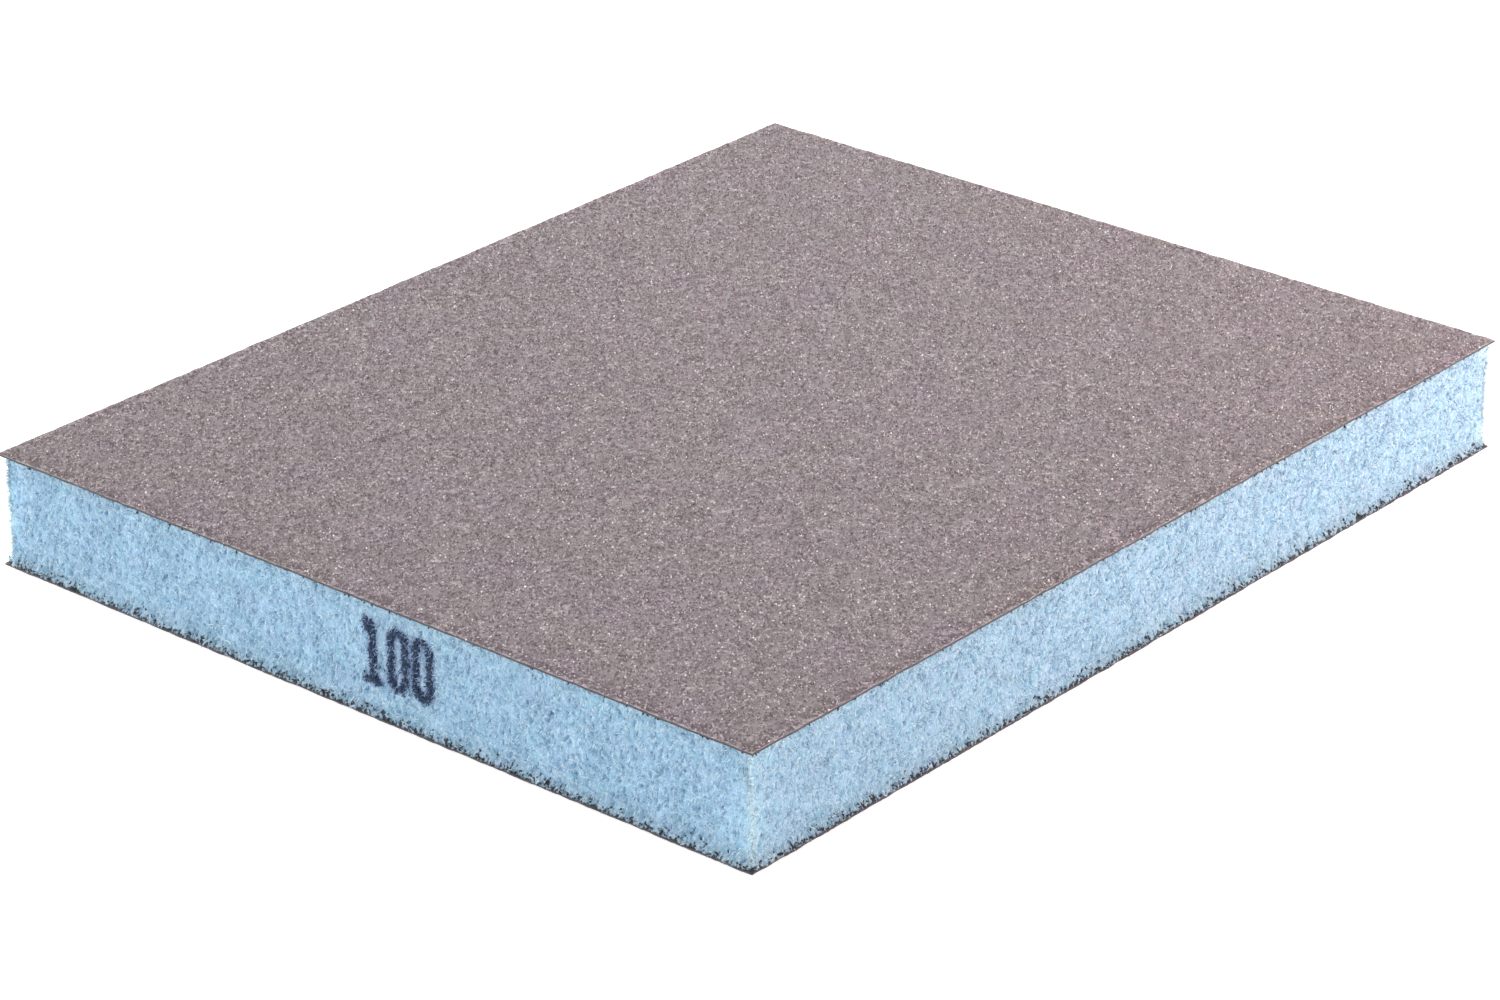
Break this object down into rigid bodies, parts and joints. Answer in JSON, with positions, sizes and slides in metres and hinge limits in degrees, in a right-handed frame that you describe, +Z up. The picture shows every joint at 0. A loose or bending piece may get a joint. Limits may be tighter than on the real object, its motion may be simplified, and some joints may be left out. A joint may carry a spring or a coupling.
{
  "type": "sanding block",
  "caption": "Flat rectangular hand sanding block: a slab of open-cell foam with coated abrasive bonded to each broad face, squeezed by hand against paint, filler or wood.",
  "frame": {"origin": "centre of the underside, on the outer face of the lower size coat", "axes": "+X across the pad's width, +Y along its length away from the printed edge, +Z up through its thickness"},
  "size_m": [0.098, 0.12, 0.0125],
  "materials": {
    "foam": "matte",
    "ink": "matte",
    "bond_resin": "matte",
    "abrasive_grain": "matte",
    "size_resin": "satin"
  },
  "bodies": {
    "lower_face": {"foam_core": "foam", "grade_mark": "ink", "lower_bond_coat": "bond_resin", "lower_grain_layer": "abrasive_grain", "lower_size_coat": "size_resin"},
    "upper_face": {"upper_bond_coat": "bond_resin", "upper_grain_layer": "abrasive_grain", "upper_size_coat": "size_resin"}
  },
  "joints": [
    {"name": "foam_squeeze", "type": "slide", "parent": "lower_face", "child": "upper_face", "axis": [0, 0, -1], "range_m": [0, 0.006], "stiffness_N_per_m": 30000, "deforming": ["foam_core", "grade_mark"]}
  ]
}
